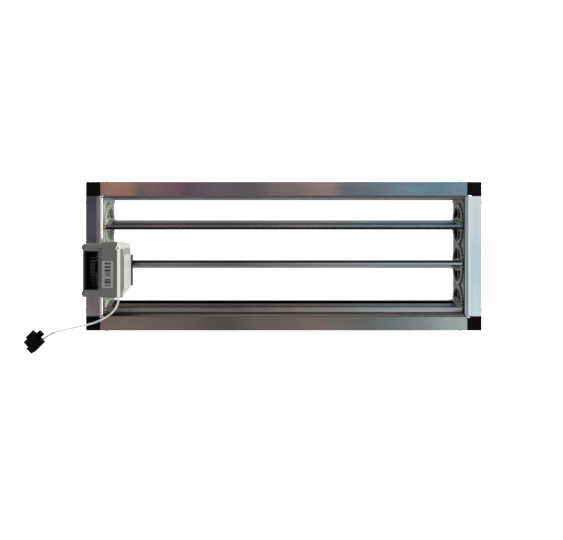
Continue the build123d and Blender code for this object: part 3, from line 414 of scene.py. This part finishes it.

# ---- Gear cheeks and bushes ----
# Moulded grey-green trays close the side profiles; a paler bush stands in each boss.
# Their skin carries greasy marks at random.
# The right tray is coloured darker than the left as painted shade.
CHEEK_COLOURS_LIT_AND_SHADED = {"left": ((196, 200, 190), (168, 173, 161)), "right": ((92, 95, 88), (79, 82, 75))}
bush_pale = skin("bush_pale", srgb(226, 226, 216), srgb(206, 206, 196), 0.35, size=800, depth=0.05)
for side, (brighter, greasy) in CHEEK_COLOURS_LIT_AND_SHADED.items():
    moulded = skin("cheek_" + side, srgb(*brighter), srgb(*greasy), 0.5, size=800, depth=0.12)
    paint(nodes["cheek_" + side], moulded)
    for level_name in ("top", "middle", "bottom"):
        paint(nodes[f"bush_{level_name}_{side}"], bush_pale)

# ---- Blades and seals ----
# Hollow extruded blades, arched on one side. Their tints along the width are painted reflections, an arch is
# scaled lighter or darker as a painted reflection, and the bottom blade is painted black over the spine as a
# painted dark reflection.
# A black rubber seal is pushed in each edge; the lowest one is grey.
BLADE_AXIS_Z = 0.0625
BLADES = {
    "top": {
        "axis_y": 0.0766, "tilt": 3.3, "gain": 3.0,
        "zone": [(0.0, 0.0), (0.012, 0.35), (0.045, 0.45), (0.0485, 0.0)],
        "stops": [(-0.38, (94, 89, 91)), (-0.3, (100, 92, 94)), (-0.14, (85, 83, 84)), (-0.06, (96, 94, 94)),
                  (0.04, (118, 112, 111)), (0.13, (106, 110, 112)), (0.24, (102, 114, 119)),
                  (0.38, (100, 120, 129)), (0.43, (92, 106, 112))]},
    "middle": {
        "axis_y": -0.0234, "tilt": -3.3, "gain": 1.0,
        "zone": [(0.0, 0.0), (0.05, 0.0)],
        "stops": [(-0.38, (100, 98, 99)), (-0.3, (112, 110, 111)), (-0.14, (92, 90, 91)),
                  (0.04, (126, 121, 121)), (0.13, (134, 134, 136)), (0.24, (136, 144, 153)),
                  (0.38, (126, 144, 152)), (0.43, (150, 164, 170))]},
    "bottom": {
        "axis_y": -0.1234, "tilt": 3.3, "gain": 0.68,
        "zone": [(0.0, 1.0), (0.0465, 1.0), (0.0485, 0.0)], "dull": (-0.004, 0.0255),
        "stops": [(-0.38, (106, 98, 97)), (-0.3, (100, 95, 95)), (-0.14, (86, 84, 84)), (-0.06, (98, 94, 95)),
                  (0.04, (118, 108, 108)), (0.13, (118, 118, 117)), (0.24, (124, 136, 136)),
                  (0.38, (134, 150, 156)), (0.43, (134, 140, 144))]},
}
ARCHED_SIDE = 0.0005               # a place further from the blade's middle plane is on its arch
SHEEN = (0.55, 0.55, 0.55, 1)      # keeps the blades darker than the frame at grazing angles
# specular tint inside the painted dark reflection band
SHEEN_DARK_BAND = (0.04, 0.04, 0.04, 1)


def blade_metal(name, axis_y, tilt, gain, zone, stops, dull=None):
    """The blade's aluminium; as a painted reflection its arch is scaled by the gain over the zone, and as a
    painted dark reflection it is blackened between the heights of the dark band.
    """
    made = aluminium("aluminium_" + name, "X", stops, roughness=0.3, Specular_Tint=SHEEN,
                     Specular_IOR_Level=0.05)
    tree, shader, body = opened(made)
    turn = math.radians(-tilt)
    middle = Matrix.Rotation(turn, 3, "X") @ Vector((0, axis_y, BLADE_AXIS_Z))
    at_blade = add(tree, "Mapping", None, Vector=add(tree, "TexCoord").outputs["Object"],
                   Location=tuple(-middle), Rotation=(turn, 0, 0))
    place = add(tree, "SeparateXYZ", None, Vector=at_blade.outputs[0])
    arched = maths(tree, "GREATER_THAN", place.outputs["Y"], ARCHED_SIDE)
    # The arch's colour is scaled by the gain over the zone as a painted reflection.
    reflection_ramp = ramp(tree, place.outputs["Z"], [(metres, (255, 255, 255), amount) for metres, amount in zone])
    reflection_mask = maths(tree, "MULTIPLY", reflection_ramp.outputs["Alpha"], arched)
    reflected_tint = add(tree, "VectorMath", {"operation": "SCALE"}, n0=body)
    reflected_tint.inputs["Scale"].default_value = gain
    body = mix(tree, reflection_mask, body, reflected_tint.outputs[0])
    # A band near the spine is painted black, with its specular tint turned down, as a painted dark
    # reflection.
    if dull:
        dark_band_mask = maths(tree, "MULTIPLY", maths(tree, "GREATER_THAN", place.outputs["Z"], dull[0]),
                       maths(tree, "LESS_THAN", place.outputs["Z"], dull[1]))
        dark_band_mask = maths(tree, "MULTIPLY", dark_band_mask, arched)
        body = mix(tree, dark_band_mask, body, srgb(20, 20, 20))
        link(tree, mix(tree, dark_band_mask, SHEEN, SHEEN_DARK_BAND), shader, "Specular Tint")
    link(tree, body, shader, "Base Color")
    return made


seal_black = skin("seal_black", srgb(8, 8, 9), srgb(20, 20, 21), 0.6, size=1200, depth=0.2,
                  Specular_IOR_Level=0.1)
seal_grey = skin("seal_grey", srgb(130, 128, 126), srgb(112, 110, 108), 0.55, size=1200, depth=0.2)
# The grey seal's tints along X are painted reflections that follow the aluminium beside it, and painted light
# that lifts its shaded lower lip.
SEAL_TINTS = [(-0.42, (112, 108, 106)), (-0.25, (112, 108, 108)), (-0.10, (110, 106, 104)),
              (0.04, (142, 134, 132)), (0.13, (148, 144, 142)), (0.27, (168, 180, 184)),
              (0.38, (166, 182, 190)), (0.43, (130, 134, 136))]
SEAL_SHEEN = 0.85                  # how much of them shows
tree, shader, body = opened(seal_grey)
stain_and_sheen = ramp(tree, spot(tree)["X"], SEAL_TINTS).outputs["Color"]
link(tree, mix(tree, SEAL_SHEEN, body, stain_and_sheen), shader, "Base Color")
for level_name, looks in BLADES.items():
    paint(nodes["blade_" + level_name], blade_metal("blade_" + level_name, **looks))
    for edge in ("front", "rear"):
        paint(nodes[f"seal_{level_name}_{edge}"], seal_black)
paint(nodes["seal_bottom_front"], seal_grey)

# ---- Blade gears ----
# A moulded gear holds each blade end in its socket. The hollowed face and its windows are coloured darker
# as painted shade, so the rims stand out pale. The right gears are coloured darker than the left as painted
# shade, and the bottom left gear paler as painted light.
GEAR_FACE = 0.4312                 # from the middle of the damper to the gears' inner faces
FACE_DEPTH = 0.0008                # behind the face lie the hollows, and before it the sleeves
GEAR_LOOKS_LIT_AND_SHADED = {                     # brighter base, greasy, painted hollow shade and sleeve levels, and the gears that have them
    "left": ((208, 212, 202), (182, 187, 175), (186, 190, 176), (120, 122, 116),
             ("gear_top_left", "gear_middle_left")),
    # The right gears are coloured darker than the left as painted shade.
    "right": ((120, 124, 115), (103, 107, 98), (60, 62, 55), (92, 98, 98),
              ("gear_top_right", "gear_middle_right", "gear_bottom_right")),
    # The bottom left gear is coloured paler than the others as painted light.
    "brighter": ((236, 239, 230), (216, 220, 209), (200, 204, 192), (150, 150, 146), ("gear_bottom_left",)),
}
for look_name, (brighter, greasy, hollow_shade, sleeve, gears) in GEAR_LOOKS_LIT_AND_SHADED.items():
    moulded = skin("gear_" + look_name, srgb(*brighter), srgb(*greasy), 0.42, size=900, depth=0.1)
    tree, shader, body = opened(moulded)
    out_along = maths(tree, "ABSOLUTE", spot(tree)["X"])
    # Behind the face the hollows are coloured darker as painted shade.
    depth = add(tree, "MapRange", None, Value=out_along, From_Min=GEAR_FACE, From_Max=GEAR_FACE + FACE_DEPTH)
    body = mix(tree, depth.outputs[0], body, srgb(*hollow_shade))
    on_blade = maths(tree, "LESS_THAN", out_along, GEAR_FACE - FACE_DEPTH)
    link(tree, mix(tree, on_blade, body, srgb(*sleeve)), shader, "Base Color")
    for name in gears:
        paint(nodes[name], moulded)

# ---- Actuator drive ----
# A black drive gear on a steel shaft turns the middle blade's gear through a gap in the flange.
# It runs in a black moulded carrier that lines the window of the cast yoke.
drive_black = skin("drive_black", srgb(8, 8, 9), srgb(14, 14, 15), 0.5, size=900, depth=0.15,
                   Specular_IOR_Level=0.12)
for name in ("gear_carrier", "gearbox"):
    paint(nodes[name], drive_black)
paint(nodes["drive_gear"], skin("drive_tooth_black", srgb(20, 20, 21), srgb(34, 34, 35), 0.42, size=900,
                                depth=0.15, Specular_IOR_Level=0.2))
for name in ("output_shaft", "motor"):
    paint(nodes[name], zinc)

# ---- Yoke and end plate ----
# A cast yoke reaches round the drive gear; socket screws hold its dark end plate and the case.
# A foot bent from aluminium sheet screws it to the left profile.
yoke_grey = skin("yoke_grey", srgb(85, 85, 82), srgb(75, 75, 73), 0.45, size=1100, depth=0.2, marks=25)
plate_dark = skin("plate_dark", srgb(44, 43, 45), srgb(56, 55, 56), 0.5, size=1100, depth=0.2, marks=25)
WEB_EDGE = -0.4212                 # where the yoke's web, coloured darker as painted shade, begins beside the window
WEB_REACH = 0.0455                 # of the painted web shade, up and down from the drive axis
DRIVE_Y = BLADES["middle"]["axis_y"]
tree, shader, body = opened(yoke_grey)
where = spot(tree)
# The web between the yoke's arms is coloured darker as painted shade.
off_axis = maths(tree, "ABSOLUTE", maths(tree, "SUBTRACT", where["Y"], DRIVE_Y))
web = maths(tree, "MULTIPLY", maths(tree, "LESS_THAN", off_axis, WEB_REACH),
            maths(tree, "GREATER_THAN", where["X"], WEB_EDGE))
link(tree, mix(tree, web, body, srgb(64, 64, 62)), shader, "Base Color")
paint(nodes["gear_yoke"], yoke_grey)
paint(nodes["end_plate"], plate_dark)
for name in ("end_bolts", "foot_screw"):
    paint(nodes[name], plate_dark)
# The foot takes the left profile's finish, with its painted reflection tints.
paint(nodes["foot_bracket"], nodes["profile_left"].material_slots[0].material)

# ---- Case ----
# A grey cast case with drawn-in sides, painted with a fine texture.
case_grey = skin("case_grey", srgb(84, 83, 82), srgb(76, 75, 74), 0.48, size=1100, depth=0.25, marks=25)
paint(nodes["housing"], case_grey)

# ---- Case cover ----
# A pale moulded lid with sloping sides, ribs and a raised pad; one screw holds it at the front.
cover_pale = skin("cover_pale", srgb(214, 217, 210), srgb(204, 207, 200), 0.4, size=1000, depth=0.15)
BAND_EDGE = -0.3708                # where the straight band ends and the slope begins
GROOVE_FRONT = 0.2106              # the channel between the band and the pad lies in front of this
RIB_PITCH = 0.014                  # of the ribs on the upper slope
RIB_ZONE = (0.0043, 0.0215)        # from the pad's upper edge to the lid's rounded one
RIB_CUT = -0.3                     # of the wave, above which it is between two ribs
RIB_SHADE = 0.6                    # how much of the painted shade between the ribs shows
tree, shader, body = opened(cover_pale)
where = spot(tree)
sloped = maths(tree, "GREATER_THAN", where["X"], BAND_EDGE)
# The straight band is coloured paler than the slopes as a painted highlight.
body = mix(tree, sloped, srgb(228, 230, 224), body)
below_edge = maths(tree, "MULTIPLY", sloped, maths(tree, "LESS_THAN", where["Y"], RIB_ZONE[1]))
# The channel before the pad is coloured darker as painted shade.
channel = maths(tree, "MULTIPLY", below_edge, maths(tree, "GREATER_THAN", where["Z"], GROOVE_FRONT))
body = mix(tree, channel, body, srgb(112, 116, 110))
# The hollows between the ribs are coloured darker as painted shade.
wave = maths(tree, "SINE", maths(tree, "MULTIPLY", where["Z"], 2 * math.pi / RIB_PITCH))
between = maths(tree, "GREATER_THAN", wave, RIB_CUT)
zone = maths(tree, "MULTIPLY", maths(tree, "GREATER_THAN", where["Y"], RIB_ZONE[0]), below_edge)
hollow_shade = maths(tree, "MULTIPLY", maths(tree, "MULTIPLY", between, zone), RIB_SHADE)
link(tree, mix(tree, hollow_shade, body, srgb(118, 122, 116)), shader, "Base Color")
paint(nodes["cover"], cover_pale)
paint(nodes["cover_screw"], zinc)
for name in ("cover_strip", "grommet"):
    paint(nodes[name], seal_black)

# ---- Label ----
# A printed foil on the case's front, with a column of plain bars that say nothing.
LABEL_MIDDLE = (-0.3995, -0.0361)
BAR_HALF = 0.0068
BARS = [(-0.0262, -0.0236), (-0.0205, -0.0154), (-0.0143, -0.0106), (-0.0040, -0.0022), (-0.0010, 0.0006),
        (0.0020, 0.0044), (0.0062, 0.0114), (0.0140, 0.0190), (0.0222, 0.0270)]
LABEL_REACH = 0.03                 # from the label's middle past its lower end
label_foil = skin("label_foil", srgb(134, 133, 138), srgb(126, 125, 129), 0.35, size=600, depth=0.02)
tree, shader, foil = opened(label_foil)
where = spot(tree)
printed = [(LABEL_MIDDLE[1] - LABEL_REACH, (0, 0, 0), 0.0)]
for lower, upper in BARS:
    printed += [(LABEL_MIDDLE[1] + lower, (0, 0, 0), 1.0), (LABEL_MIDDLE[1] + upper, (0, 0, 0), 0.0)]
bars = ramp(tree, where["Y"], printed, "CONSTANT")
off_middle = maths(tree, "ABSOLUTE", maths(tree, "SUBTRACT", where["X"], LABEL_MIDDLE[0]))
column = maths(tree, "LESS_THAN", off_middle, BAR_HALF)
ink = maths(tree, "MULTIPLY", bars.outputs["Alpha"], column)
link(tree, mix(tree, ink, foil, srgb(10, 10, 14)), shader, "Base Color")
paint(nodes["label"], label_foil)

# ---- Plug ----
# The black plug at the cable's end.
plug_black = skin("plug_black", srgb(2, 2, 3), srgb(9, 9, 9), 0.55, size=900, depth=0.15, marks=60,
                  Specular_IOR_Level=0.03)
for name in ("plug_body", "plug_latch"):
    paint(nodes[name], plug_black)
